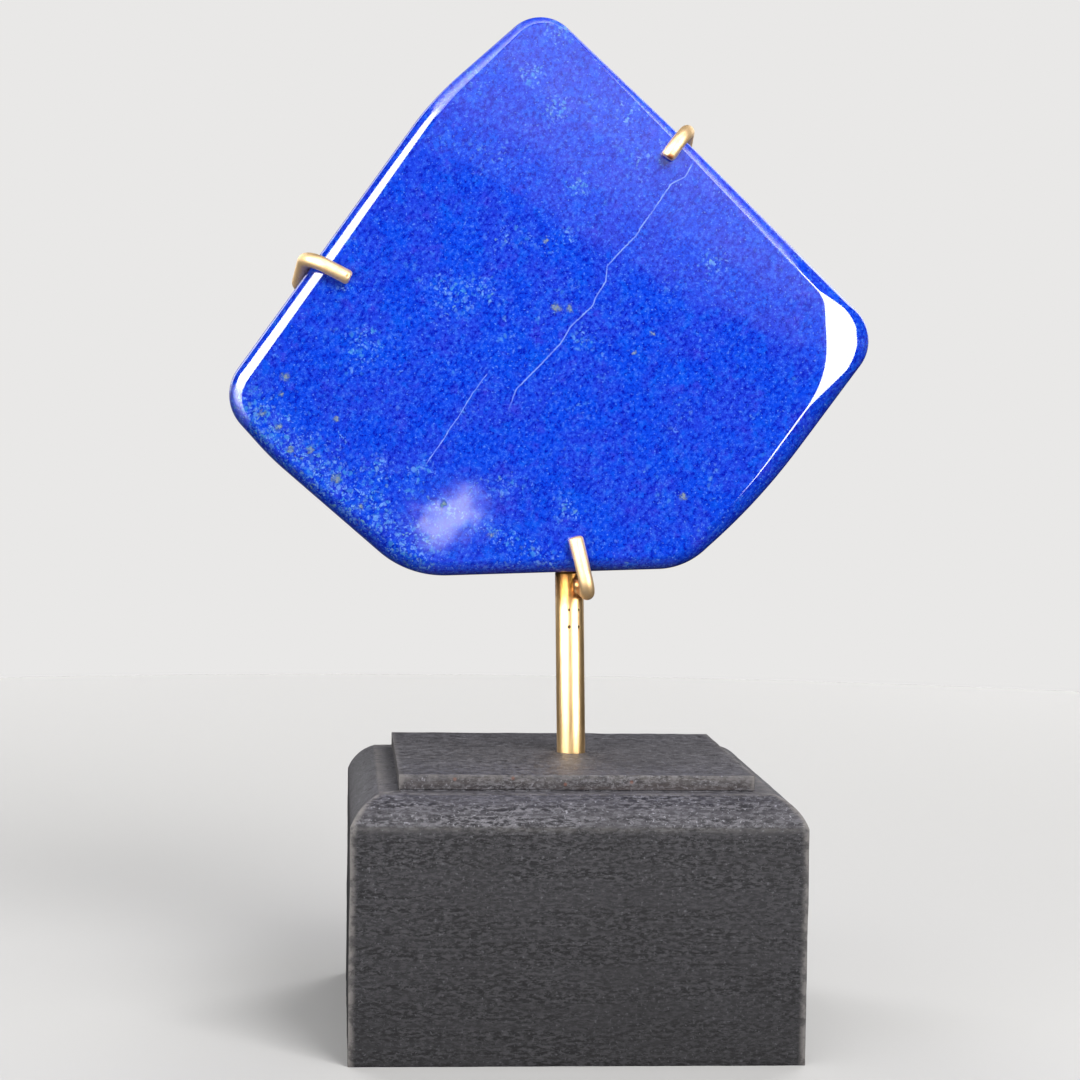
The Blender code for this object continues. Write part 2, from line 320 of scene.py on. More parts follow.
for size, share in ((0.5 * MM, 0.75), (0.9 * MM, 0.6)):
    cells = add_node(tree, "TexVoronoi", {"Vector": ragged, "Scale": 1 / size})
    picked, hue, _ = (
        add_node(tree, "SeparateXYZ", [cells.node.outputs["Color"]], output=axis) for axis in range(3)
    )
    picked = add_node(tree, "Math", [picked, bar], operation="SUBTRACT")
    picked = add_node(tree, "MapRange", [picked, 0.0, 0.35, 0.0, share])
    spot = add_node(tree, "MapRange", [cells, 0.62, 0.2, 0.0, 1.0], **SOFT)
    fleck = add_node(tree, "Math", [spot, picked], operation="MULTIPLY")
    pale = tinted(tree, colour_of("#6C9CDC"), [(hue, 0.4, 0.65, 0.9, "#3684BE"), (hue, 0.8, 0.95, 0.8, "#6E9C94")])
    body = add_node(tree, "Mix", {0: fleck, 6: body, 7: pale}, **TINT)

# Pyrite: dull gold grains, a few on the face and more in the band, each broken up by the lazurite, with paler specks
# on them as a painted glint
PYRITE_GRAINS = [
    (-2.9, 124.5, 1.3), (-0.6, 124.4, 0.9), (-4.8, 135.9, 0.7), (-49.2, 112.0, 1.0), (-40.3, 104.9, 0.8),
    (13.9, 120.4, 0.7), (10.7, 117.0, 0.6), (19.6, 92.2, 0.9), (-40.3, 94.8, 1.2), (-21.8, 90.7, 0.9),
    (-13.4, 85.3, 0.8), (-53.2, 105.7, 1.0), (-48.3, 99.5, 0.9), (-31.1, 81.7, 1.0), (-49.7, 108.9, 0.7),
    (-44.8, 99.5, 0.9), (-50.2, 103.5, 0.8), (-36.0, 90.0, 0.8),
]
spread = add_node(tree, "TexNoise", {"Vector": place, "Scale": 1 / (1.5 * MM), "Detail": 3.0, "Roughness": 0.6})
pyrite = add_node(tree, "MapRange", [spread, 0.6, 0.7, 0.0, 0.7], **SOFT)
pyrite = add_node(tree, "Math", [band, pyrite], operation="MULTIPLY")
for x, z, reach in PYRITE_GRAINS:
    spot = near_to(tree, ragged, (x, SLAB_FRONT_Y / MM, z), reach * 0.3, reach)
    pyrite = add_node(tree, "Math", [pyrite, spot], operation="MAXIMUM")
crumbs = add_node(tree, "TexNoise", {"Vector": place, "Scale": 1 / (0.4 * MM), "Detail": 2.0, "Roughness": 0.6})
# Painted glint: paler olive specks in the gold stand for light caught by the pyrite
painted_glint = add_node(tree, "TexNoise", {"Vector": place, "Scale": 1 / (0.5 * MM), "Detail": 2.0, "Roughness": 0.6})
gold = tinted(tree, colour_of("#1A4A78"), [(crumbs, 0.42, 0.6, 1.0, "#6A783C"), (painted_glint, 0.58, 0.7, 0.8, "#8EA070")])
amount = add_node(tree, "Math", [pyrite, 0.75], operation="MULTIPLY")
body = add_node(tree, "Mix", {0: amount, 6: body, 7: gold}, **TINT)

# Healed cracks: thin pale seams that run through the slab. Each has its start and end in mm, its bends as shares
# of its length and offsets in mm, and its width
SEAMS = [
    ((20.53, 150.06), (-11.28, 105.64), 0.11, [
        (0.057, 0.38), (0.101, -0.85), (0.2, -0.65), (0.261, -0.65), (0.296, -0.42), (0.364, -0.99),
        (0.429, -1.36), (0.471, 0.02), (0.528, 0.22), (0.555, 0.69), (0.65, -0.27), (0.711, 0.08),
        (0.813, -0.62), (0.875, -1.12), (0.912, -1.43),
    ]),
    ((-14.53, 113.18), (-25.24, 96.94), 0.08, [(0.23, -0.17), (0.447, 0.06), (0.598, 0.01), (0.698, 0.11)]),
]
SEAM_SWING = 3.0
SEAM_TREMBLE = 0.35 * MM
for start, end, width, bends in SEAMS:
    start, end = Vector((start[0], 0, start[1])) * MM, Vector((end[0], 0, end[1])) * MM
    run = end - start
    side = Vector((-run.z, 0, run.x)).normalized()
    run /= run.length_squared
    share = add_node(tree, "VectorMath", [place, run], output="Value", operation="DOT_PRODUCT")
    share = add_node(tree, "Math", [share, run.dot(start)], operation="SUBTRACT")
    bend = add_node(tree, "FloatCurve", {"Value": share})
    line = bend.node.mapping.curves[0]
    line.points[0].location = (0, 0.5)
    line.points[1].location = (1, 0.5)
    for where, off in bends:
        line.points.new(where, 0.5 + off / SEAM_SWING / 2)
    for knot in line.points:
        knot.handle_type = "VECTOR"
    bend.node.mapping.update()
    bend = add_node(tree, "MapRange", [bend, 0.0, 1.0, -SEAM_SWING * MM, SEAM_SWING * MM])
    off = add_node(tree, "VectorMath", [place, side], output="Value", operation="DOT_PRODUCT")
    off = add_node(tree, "Math", [off, side.dot(start)], operation="SUBTRACT")
    off = add_node(tree, "Math", [off, bend], operation="SUBTRACT")
    tremble = add_node(tree, "Math", [grain, SEAM_TREMBLE, -SEAM_TREMBLE / 2], operation="MULTIPLY_ADD")
    off = add_node(tree, "Math", [off, tremble], operation="ADD")
    off = add_node(tree, "Math", [off], operation="ABSOLUTE")
    seam = add_node(tree, "MapRange", [off, width * MM * 0.5, width * MM * 1.4, 1.0, 0.0], **SOFT)
    broken = add_node(tree, "TexNoise", {"Vector": place, "Scale": 1 / (2.5 * MM)})
    for pattern, *limits in ((share, 0.0, 0.03, 0.0, 1.0), (share, 1.0, 0.9, 0.0, 1.0), (broken, 0.3, 0.6, 0.5, 1.0)):
        fade = add_node(tree, "MapRange", [pattern, *limits], **SOFT)
        seam = add_node(tree, "Math", [seam, fade], operation="MULTIPLY")
    body = add_node(tree, "Mix", {0: seam, 6: body, 7: colour_of("#7492DA")}, **TINT)

# The polish is fullest on the flat face. It thins out over the rim, where fine pits stay open, and it is worn dull
# at two corners and along both sides of the top
WORN_CORNERS = [(-58.6, -5.5, 106.2, 4.0, 5.0), (53.0, -3.0, 119.0, 2.0, 5.0)]
WORN_EDGES = [
    (Vector((-8.0, 0, 177.5)), Vector((37.0, 0, 133.0)), 8.0),
    (Vector((-24.0, 0, 158.5)), Vector((-4.0, 0, 177.0)), 5.0),
]
depth = add_node(tree, "SeparateXYZ", [place], output="Y")
unpolished = add_node(tree, "MapRange", [depth, SLAB_FRONT_Y + 1.2 * MM, SLAB_FRONT_Y + 3.5 * MM, 0.0, 1.0], **SOFT)
on_roll = add_node(tree, "MapRange", [depth, SLAB_FRONT_Y, SLAB_FRONT_Y + 0.03 * MM, 0.0, 1.0], **SOFT)
worn_places = [near_to(tree, place, (x, y, z), inner, outer) for x, y, z, inner, outer in WORN_CORNERS]
worn_places += [along_line(tree, place, (start, end), width) for start, end, width in WORN_EDGES]
for worn in worn_places:
    worn = add_node(tree, "Math", [worn, on_roll], operation="MULTIPLY")
    unpolished = add_node(tree, "Math", [unpolished, worn], operation="MAXIMUM")
rough = add_node(tree, "Math", [unpolished, 0.34, 0.05], operation="MULTIPLY_ADD")
metal_rough = add_node(tree, "Math", [pyrite, 0.25], operation="MULTIPLY")
rough = add_node(tree, "Math", [rough, metal_rough], operation="ADD")
tree.links.new(body, shader.inputs["Base Color"])
tree.links.new(rough, shader.inputs["Roughness"])
undulation = add_node(tree, "TexNoise", {"Vector": place, "Scale": 1 / (5 * MM), "Detail": 1.0})
waves = add_node(tree, "Bump", {"Strength": 0.12, "Distance": 0.1 * MM, "Height": undulation})
pits = add_node(tree, "Math", [grain, unpolished], operation="MULTIPLY")
bump = add_node(tree, "Bump", {"Strength": 0.5, "Distance": 0.12 * MM, "Height": pits, "Normal": waves})
tree.links.new(bump, shader.inputs["Normal"])
slab.data.materials.append(lapis)
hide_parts("stone")
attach(slab, "root")


# Display block: one piece of close-grained wood, moulded with an ovolo, a ledge and a raised plate, sanded,
# stained black and waxed thin. The post's hole is drilled down through the plate.
BLOCK_HALF = 37.5 * MM
WALL_HEIGHT = 39.0 * MM
OVOLO_WIDTH = 4.9 * MM
OVOLO_HEIGHT = 5.0 * MM
OVOLO_TURN = radians(50)
OVOLO_STEPS = 10
PLATE_INSET = 8.0 * MM
PLATE_TOP = 46.7 * MM
GROOVE = 0.22 * MM
ARRIS = 0.24 * MM
POST_RADIUS = 2.5 * MM
POST_FOOT_X = 1.55 * MM
POST_LEAN = 0.0242
HOLE_DEPTH = 20.0 * MM
HOLE_RADIUS = POST_RADIUS + 0.06 * MM


def square(inset, height):
    half = BLOCK_HALF - inset
    return [Vector((x * half, y * half, height)) for x, y in ((-1, -1), (1, -1), (1, 1), (-1, 1))]


def block_levels():
    """Insets and heights up the block: the ovolo's arc, the ledge, the groove at the plate's foot and the plate."""
    radius = sqrt(OVOLO_WIDTH**2 + OVOLO_HEIGHT**2) / 2 / sin(OVOLO_TURN / 2)
    first = asin(OVOLO_HEIGHT / sqrt(OVOLO_WIDTH**2 + OVOLO_HEIGHT**2)) + OVOLO_TURN / 2
    levels = []
    for step in range(1, OVOLO_STEPS + 1):
        turned = first - OVOLO_TURN * step / OVOLO_STEPS
        levels.append((radius * (sin(first) - sin(turned)), WALL_HEIGHT + radius * (cos(turned) - cos(first))))
    ledge = levels[-1][1]
    levels += [(PLATE_INSET + GROOVE, ledge), (PLATE_INSET + GROOVE, ledge + GROOVE)]
    levels += [(PLATE_INSET, ledge + GROOVE * 1.3), (PLATE_INSET, PLATE_TOP)]
    return levels


def post_axis(height):
    return Vector((POST_FOOT_X - POST_LEAN * (height - PLATE_TOP), SLAB_Y, height))


def add_rod(name, bottom, top, radius, sides):
    """A rod between two heights on the post's leaning axis."""
    low, high = post_axis(bottom), post_axis(top)
    bpy.ops.mesh.primitive_cylinder_add(
        vertices=sides,
        radius=radius,
        depth=(high - low).length,
        location=(low + high) / 2,
        rotation=(high - low).to_track_quat("Z", "Y").to_euler(),
    )
    return named(name)


bpy.ops.object.select_all(action="DESELECT")
bpy.ops.mesh.primitive_plane_add(size=2 * BLOCK_HALF)
block = named("wooden_block")
bpy.ops.object.mode_set(mode="EDIT")
bpy.ops.mesh.select_all(action="SELECT")
lay_face_on(block.data, square(0, 0))
draw_through(block.data, [square(0, WALL_HEIGHT)] + [square(*level) for level in block_levels()])
bpy.ops.mesh.select_all(action="SELECT")
bpy.ops.mesh.normals_make_consistent(inside=False)
bpy.ops.mesh.select_all(action="DESELECT")
bpy.ops.mesh.select_mode(type="EDGE")
bpy.ops.mesh.edges_select_sharp(sharpness=radians(25))
bpy.ops.mesh.bevel(offset=ARRIS, offset_type="WIDTH", segments=3, affect="EDGES", clamp_overlap=True)


def select_edges(mesh, wanted):
    """Selects the edges whose run and middle satisfy a test, and no others."""
    bpy.ops.mesh.select_all(action="DESELECT")
    bm = bmesh.from_edit_mesh(mesh)
    for edge in bm.edges:
        first, last = (corner.co for corner in edge.verts)
        edge.select_set(wanted(last - first, (first + last) / 2))
    bmesh.update_edit_mesh(mesh)


select_edges(block.data, lambda run, middle: abs(run.z) > WALL_HEIGHT / 2)
bpy.ops.mesh.subdivide(number_cuts=31)
select_edges(block.data, lambda run, middle: max(abs(run.x), abs(run.y)) > BLOCK_HALF)
bpy.ops.mesh.subdivide(number_cuts=59)
bpy.ops.mesh.select_mode(type="VERT")
bpy.ops.object.mode_set(mode="OBJECT")

# Arrises and mitres are rubbed where hands and cloths have met them; their paler line is partly that wear and partly
# a painted highlight where light catches the edges
RUBBED_AND_HIGHLIT_WITHIN = 0.16 * MM
rubbed_and_highlit = block.data.attributes.new("rubbed_and_highlit", "FLOAT", "POINT")
ledge_height = block_levels()[OVOLO_STEPS - 1][1]
for index, vertex in enumerate(block.data.vertices):
    x, y, z = abs(vertex.co.x), abs(vertex.co.y), vertex.co.z
    wide, narrow = max(x, y), min(x, y)
    upright = z < WALL_HEIGHT and narrow > BLOCK_HALF - RUBBED_AND_HIGHLIT_WITHIN
    mitre = WALL_HEIGHT <= z < ledge_height and wide - narrow < RUBBED_AND_HIGHLIT_WITHIN
    wall_top = abs(z - WALL_HEIGHT) < RUBBED_AND_HIGHLIT_WITHIN * 0.6 and wide > BLOCK_HALF - ARRIS
    plate_edge = z > PLATE_TOP - RUBBED_AND_HIGHLIT_WITHIN and wide > BLOCK_HALF - PLATE_INSET - RUBBED_AND_HIGHLIT_WITHIN
    plate_corner = z > ledge_height + GROOVE and narrow > BLOCK_HALF - PLATE_INSET - RUBBED_AND_HIGHLIT_WITHIN
    ledge_lip = abs(z - ledge_height) < RUBBED_AND_HIGHLIT_WITHIN / 2 and wide > BLOCK_HALF - OVOLO_WIDTH - RUBBED_AND_HIGHLIT_WITHIN
    worn = max(upright, mitre, plate_edge * 0.5, plate_corner * 0.7, ledge_lip * 0.6, wall_top * 0.35)
    rubbed_and_highlit.data[index].value = float(worn)

# Sanding leaves the block a little uneven
unevenness = bpy.data.textures.new("sanding", "CLOUDS")
unevenness.noise_scale = 7 * MM
sanding = block.modifiers.new("sanding", "DISPLACE")
sanding.texture = unevenness
sanding.strength = 0.22 * MM
bpy.ops.object.modifier_apply(modifier="sanding")
drill = add_rod("post_hole", PLATE_TOP - HOLE_DEPTH, PLATE_TOP + HOLE_DEPTH, HOLE_RADIUS, 64)
bpy.context.view_layer.objects.active = block
hole = block.modifiers.new("hole", "BOOLEAN")
hole.object = drill
hole.solver = "EXACT"
bpy.ops.object.modifier_apply(modifier="hole")
bpy.data.objects.remove(drill)
bpy.ops.object.select_all(action="DESELECT")
block.select_set(True)
bpy.ops.object.shade_smooth_by_angle(angle=radians(32))

# Black-stained wood: the stain leaves the grain just showing, as fine lines along X with short open pores. It is
# dull from a thin wax, painted paler up the wall and much paler over the moulding and plate as painted light and
# sheen from above, and browner round the plate, where the stain is thin.
wood, tree, shader, place = new_finish("black_stained_wood", "#2A292C", 0.6, specular=0.2)
stretched = add_node(tree, "Mapping", {"Vector": place, "Scale": (0.08, 1, 1), "Rotation": (0, radians(0.6), 0)})
short = add_node(tree, "Mapping", {"Vector": place, "Scale": (0.36, 1, 1)})
fibre = add_node(tree, "TexNoise", {"Vector": short, "Scale": 1 / (0.5 * MM), "Detail": 4.0, "Roughness": 0.7})
broad = add_node(tree, "TexNoise", {"Vector": stretched, "Scale": 1 / (1.6 * MM), "Detail": 3.0, "Roughness": 0.6})
patch = add_node(tree, "TexNoise", {"Vector": place, "Scale": 1 / (14 * MM), "Detail": 2.0})
pores = add_node(tree, "TexNoise", {"Vector": short, "Scale": 1 / (0.4 * MM), "Detail": 2.0, "Roughness": 0.6})
dust = add_node(tree, "TexNoise", {"Vector": place, "Scale": 1 / (0.55 * MM), "Detail": 3.0, "Roughness": 0.75})
body = tinted(tree, colour_of("#0A090C"), [
    (fibre, 0.42, 0.62, 1.0, "#38373A"),
    (broad, 0.42, 0.6, 0.5, "#29282B"),
    (patch, 0.42, 0.66, 0.3, "#1C1B1D"),
    (pores, 0.58, 0.7, 0.7, "#080708"),
    (dust, 0.58, 0.72, 0.55, "#5E5D62"),
])
height = add_node(tree, "SeparateXYZ", [place], output="Z")
# Painted light: the colour is lightened towards the top of the wall and over the moulding and plate, standing for
# light and sheen from above
painted_light_up_wall = add_node(tree, "MapRange", [height, 0.0, WALL_HEIGHT, 0.7, 1.2])
moulded = add_node(tree, "MapRange", [height, WALL_HEIGHT, WALL_HEIGHT + 0.5 * MM, 1.0, 2.3], **SOFT)
paler = add_node(tree, "Math", [painted_light_up_wall, moulded], operation="MULTIPLY")
body = add_node(tree, "VectorMath", {0: body, "Scale": paler}, operation="SCALE")
RUST_SPECKS = [(-20.3, 46.0), (-10.7, 46.2), (-2.0, 45.2), (9.0, 45.6)]
PLATE_FRONT_Y = -29.5
thin = add_node(tree, "MapRange", [height, ledge_height, ledge_height + 0.4 * MM, 0.0, 1.0], **SOFT)
thinned = add_node(tree, "MapRange", [height, PLATE_TOP - 0.15 * MM, PLATE_TOP - 0.4 * MM, 0.0, 1.0], **SOFT)
thin = add_node(tree, "Math", [thin, thinned], operation="MULTIPLY")
uneven = add_node(tree, "TexNoise", {"Vector": stretched, "Scale": 1 / (2.2 * MM), "Detail": 3.0, "Roughness": 0.6})
thin = add_node(tree, "Math", [thin, uneven], operation="MULTIPLY")
# Arrises painted paler: partly wear, partly a painted highlight along the lit edges
rub_and_highlight = add_node(tree, "Attribute", {}, output="Fac", attribute_name="rubbed_and_highlit")
patchy = add_node(tree, "TexNoise", {"Vector": place, "Scale": 1 / (1.6 * MM), "Detail": 3.0, "Roughness": 0.6})
patchy = add_node(tree, "MapRange", [patchy, 0.36, 0.6, 0.45, 1.0], **SOFT)
rub_and_highlight = add_node(tree, "Math", [rub_and_highlight, patchy], operation="MULTIPLY")
body = tinted(tree, body, [(thin, 0.25, 0.7, 0.6, "#3A3230"), (rub_and_highlight, 0.0, 1.0, 0.85, "#6E6A68")])
for x, z in RUST_SPECKS:
    speck = near_to(tree, place, (x, PLATE_FRONT_Y, z), 0.05, 0.5)
    body = tinted(tree, body, [(speck, 0.0, 1.0, 0.5, "#6A3A24")])
tree.links.new(body, shader.inputs["Base Color"])
tree.links.new(add_node(tree, "MapRange", [fibre, 0.3, 0.7, 0.54, 0.7]), shader.inputs["Roughness"])
open_pores = add_node(tree, "MapRange", [pores, 0.62, 0.7, 0.0, 1.0], **SOFT)
relief = add_node(tree, "Math", [fibre, 0.6], operation="MULTIPLY")
relief = add_node(tree, "Math", [relief, open_pores], operation="SUBTRACT")
bump = add_node(tree, "Bump", {"Strength": 0.5, "Distance": 0.08 * MM, "Height": relief})
tree.links.new(bump, shader.inputs["Normal"])
block.data.materials.append(wood)
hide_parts("base")
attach(block, "root")


# Post: a length of 5 mm brass rod, cut square and eased at its top, where the stone sits on it. It is glued into
# the block and was heated when the wires were brazed to it, which left its top browned.
POST_TOP = 78.55 * MM
POST_BOTTOM = PLATE_TOP - HOLE_DEPTH + 0.3 * MM
POST_EASE = 0.22 * MM
post = add_rod("brass_post", POST_BOTTOM, POST_TOP, POST_RADIUS, 96)
bpy.ops.object.mode_set(mode="EDIT")
bpy.ops.mesh.select_mode(type="EDGE")
bpy.ops.mesh.select_all(action="DESELECT")
bpy.ops.mesh.edges_select_sharp(sharpness=radians(40))
bpy.ops.mesh.bevel(offset=POST_EASE, segments=2, affect="EDGES")
bpy.ops.mesh.select_mode(type="VERT")
bpy.ops.object.mode_set(mode="OBJECT")
bpy.ops.object.shade_smooth_by_angle(angle=radians(50))

# Drawn brass rubbed bright with a cloth: faint lines run along it, and they spread each reflection sideways. Heat
# has turned it from straw to brown towards the braze, and pliers have nicked it in four places.
brass, tree, shader, place = new_finish("drawn_brass", "#E0BC88", 0.36, metallic=1.0)
drawn = add_node(tree, "Mapping", {"Vector": place, "Scale": (1, 1, 0.04)})
lines = add_node(tree, "TexNoise", {"Vector": drawn, "Scale": 1 / (0.25 * MM), "Detail": 3.0, "Roughness": 0.6})
smears = add_node(tree, "Mapping", {"Vector": place, "Scale": (1, 1, 0.3)})
mottle = add_node(tree, "TexNoise", {"Vector": smears, "Scale": 1 / (1.4 * MM), "Detail": 4.0, "Roughness": 0.65})
height = add_node(tree, "SeparateXYZ", [place], output="Z")
heated = add_node(tree, "Math", [mottle, 4 * MM, height], operation="MULTIPLY_ADD")
heated = add_node(tree, "MapRange", [heated, 72.0 * MM, 79.5 * MM, 0.0, 1.0], **SOFT)
spotted = add_node(tree, "MapRange", [mottle, 0.5, 0.62, 0.0, 1.0], **SOFT)
spotted = add_node(tree, "Math", [heated, spotted], operation="MULTIPLY")
body = tinted(tree, colour_of("#E4C08C"), [
    (mottle, 0.35, 0.65, 0.4, "#CDA468"),
    (heated, 0.0, 1.0, 0.85, "#9A6426"),
    (spotted, 0.0, 1.0, 0.6, "#6B5A1E"),
])
NICKS = [(0.67, -1.0, 72.0, 0.3), (2.49, -0.6, 72.0, 0.34), (0.72, -1.0, 69.0, 0.4), (2.5, -0.6, 69.0, 0.36)]
nicked = add_node(tree, "Math", [heated, 0.0], operation="MULTIPLY")
for x, y, z, reach in NICKS:
    nick = near_to(tree, place, (x, y, z), reach * 0.5, reach)
    nicked = add_node(tree, "Math", [nicked, nick], operation="MAXIMUM")
body = tinted(tree, body, [(nicked, 0.0, 1.0, 0.9, "#2A1608")])
tree.links.new(body, shader.inputs["Base Color"])
tree.links.new(add_node(tree, "MapRange", [lines, 0.3, 0.7, 0.3, 0.42]), shader.inputs["Roughness"])
relief = add_node(tree, "Math", [lines, 0.25], operation="MULTIPLY")
relief = add_node(tree, "Math", [relief, nicked], operation="SUBTRACT")
bump = add_node(tree, "Bump", {"Strength": 0.6, "Distance": 0.06 * MM, "Height": relief})
tree.links.new(bump, shader.inputs["Normal"])
post.data.materials.append(brass)
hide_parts("post")
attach(post, "root")


# Spine and prongs: 2.5 mm brass wire, bent cold and brazed together behind the slab, with the ends cut square and
# filed. The two side prongs fold round the slab's rim on to its face, and the bottom one rises from the post.
WIRE_RADIUS = 1.25 * MM
WIRE_SIDES = 28
BEND_RADIUS = 3.8 * MM
TIGHT_BEND = 2.6 * MM
BEND_STEP = radians(6)
END_EASE = 0.5 * MM
FACE_WIRE_Y = SLAB_FRONT_Y - WIRE_RADIUS - 0.1 * MM
BACK_WIRE_Y = SLAB_BACK_Y + WIRE_RADIUS
SLAB_MIDDLE = Vector((-3.0, 127.0)) * MM


def bent_path(corners, radius):
    """Points along a wire that runs straight between the corners and is bent round at each of them."""
    points = [corners[0]]
    for before, corner, after in zip(corners, corners[1:], corners[2:]):
        arrive, leave = (corner - before).normalized(), (after - corner).normalized()
        turn = arrive.angle(leave)
        centre = corner + (leave - arrive).normalized() * radius / cos(turn / 2)
        start = corner - arrive * radius * tan(turn / 2) - centre
        steps = max(1, ceil(turn / BEND_STEP))
        for step in range(steps + 1):
            points.append(centre + Matrix.Rotation(turn * step / steps, 3, arrive.cross(leave)) @ start)
    return points + [corners[-1]]


def wire_rings(points):
    """Rings square to a path, each turned from the last without twist."""
    rings = []
    heading = (points[1] - points[0]).normalized()
    across = heading.orthogonal().normalized()
    for i, point in enumerate(points):
        ahead = points[min(i + 1, len(points) - 1)] - points[max(i - 1, 0)]
        across.rotate(heading.rotation_difference(ahead.normalized()))
        heading = ahead.normalized()
        other = heading.cross(across)
        spins = [2 * pi * k / WIRE_SIDES for k in range(WIRE_SIDES)]
        rings.append([point + WIRE_RADIUS * (cos(spin) * across + sin(spin) * other) for spin in spins])
    return rings


def bend_wire(name, node, corners, radius=BEND_RADIUS):
    """A wire along its bent path, with both cut ends eased, that stands for a node of the model."""
    rings = wire_rings(bent_path(corners, radius))
    bpy.ops.object.select_all(action="DESELECT")
    bpy.ops.mesh.primitive_circle_add(vertices=WIRE_SIDES, radius=WIRE_RADIUS, fill_type="NGON")
    wire = named(name)
    bpy.ops.object.mode_set(mode="EDIT")
    bpy.ops.mesh.select_all(action="SELECT")
    lay_face_on(wire.data, rings[0])
    draw_through(wire.data, rings[1:])
    bpy.ops.mesh.select_all(action="SELECT")
    bpy.ops.mesh.normals_make_consistent(inside=False)
    bpy.ops.mesh.select_mode(type="EDGE")
    bpy.ops.mesh.select_all(action="DESELECT")
    bpy.ops.mesh.edges_select_sharp(sharpness=radians(60))
    bpy.ops.mesh.bevel(offset=END_EASE, segments=3, affect="EDGES")
    bpy.ops.mesh.select_mode(type="VERT")
    bpy.ops.object.mode_set(mode="OBJECT")
    bpy.ops.object.shade_smooth_by_angle(angle=radians(50))
    wire.data.materials.append(wire_brass)
    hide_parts(node)
    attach(wire, "root")
    return wire


def spine_at(height):
    """Middle of the spine's upright run at a height."""
    low = Vector((post_axis(72.5 * MM).x, BACK_WIRE_Y, 79.0 * MM))
    high = Vector((-4.0 * MM, BACK_WIRE_Y, 142.0 * MM))
    return low.lerp(high, (height - low.z) / (high.z - low.z))


def beside_rim(first, last, along, out, y):
    """A point at a distance along a side of the slab from its first corner, and out from the rim."""
    start = Vector(SLAB_CORNERS[first][0][:2]) * MM
    run = (Vector(SLAB_CORNERS[last][0][:2]) * MM - start).normalized()
    outward = Vector((-run.y, run.x))
    if outward.dot(start - SLAB_MIDDLE) < 0:
        outward = -outward
    point = start + run * along + outward * out
    return Vector((point.x, y, point.y))


# Side prongs: which corners their side runs between, then how far along it and in from the rim the tip lies, how
# far along and out the two bends lie, and the height of the fork on the spine, all in mm
SIDE_PRONGS = [
    ("left", 9, 8, (33.6, 6.5), (34.8, 1.8), (39.6, 0.5), 117.0),
    ("right", 1, 2, (2.1, 4.7), (1.2, 1.4), (4.0, 1.3), 138.0),
]
BOTTOM_TIP = Vector((0.9 * MM, FACE_WIRE_Y, 85.2 * MM))
BOTTOM_BEND = Vector((3.4 * MM, FACE_WIRE_Y, 75.2 * MM))
BOTTOM_BRAZE = post_axis(75.7 * MM) + Vector((2.1, -2.6, 0)) * MM
side_paths = {}
for side, first, last, tip, front, back, fork in SIDE_PRONGS:
    side_paths[side] = [
        beside_rim(first, last, tip[0] * MM, -tip[1] * MM, FACE_WIRE_Y),
        beside_rim(first, last, front[0] * MM, front[1] * MM, FACE_WIRE_Y),
        beside_rim(first, last, back[0] * MM, back[1] * MM, BACK_WIRE_Y),
        spine_at(fork * MM),
    ]

# Brass wire, bent and filed by hand: a satin sheen, softer than the rod's, with brown left in the cut ends and
# redder brown where the flame has been
wire_brass, tree, shader, place = new_finish("bent_brass_wire", "#E4C08E", 0.45, metallic=1.0)
mottle = add_node(tree, "TexNoise", {"Vector": place, "Scale": 1 / (1.2 * MM), "Detail": 4.0, "Roughness": 0.65})
scorched = near_to(tree, place, (4.6, -3.0, 74.6), 2.6, 6.0)
for fork in (117.0, 138.0):
    scorched = add_node(
        tree, "Math", [scorched, near_to(tree, place, spine_at(fork * MM) / MM, 2.0, 6.5)], operation="MAXIMUM"
    )
cut = near_to(tree, place, (side_paths["right"][0] + Vector((0.4, -0.9, 0.1)) * MM) / MM, 0.3, 0.85)
dimple = near_to(tree, place, (side_paths["left"][0] + Vector((-0.5, -1.0, 0.4)) * MM) / MM, 0.2, 0.5)
body = tinted(tree, colour_of("#EFD0A2"), [
    (mottle, 0.35, 0.65, 0.5, "#DCB47A"),
    (scorched, 0.0, 1.0, 0.8, "#8A4E1C"),
    (cut, 0.0, 1.0, 0.85, "#8C3F12"),
    (dimple, 0.0, 1.0, 0.85, "#7A4A20"),
])
tree.links.new(body, shader.inputs["Base Color"])
tree.links.new(add_node(tree, "MapRange", [mottle, 0.3, 0.7, 0.48, 0.58]), shader.inputs["Roughness"])
bump = add_node(tree, "Bump", {"Strength": 0.2, "Distance": 0.05 * MM, "Height": mottle})
tree.links.new(bump, shader.inputs["Normal"])

back_of_post = Vector((0, POST_RADIUS + WIRE_RADIUS, 0))
bend_wire("brass_spine", "spine", [
    post_axis(61.0 * MM) + back_of_post,
    post_axis(72.5 * MM) + back_of_post,
    spine_at(79.0 * MM),
    spine_at(142.0 * MM),
])
for side, path in side_paths.items():
    bend_wire(f"{side}_brass_prong", f"{side}_prong", path)
bend_wire("bottom_brass_prong", "bottom_prong", [BOTTOM_BRAZE, BOTTOM_BEND, BOTTOM_TIP], TIGHT_BEND)


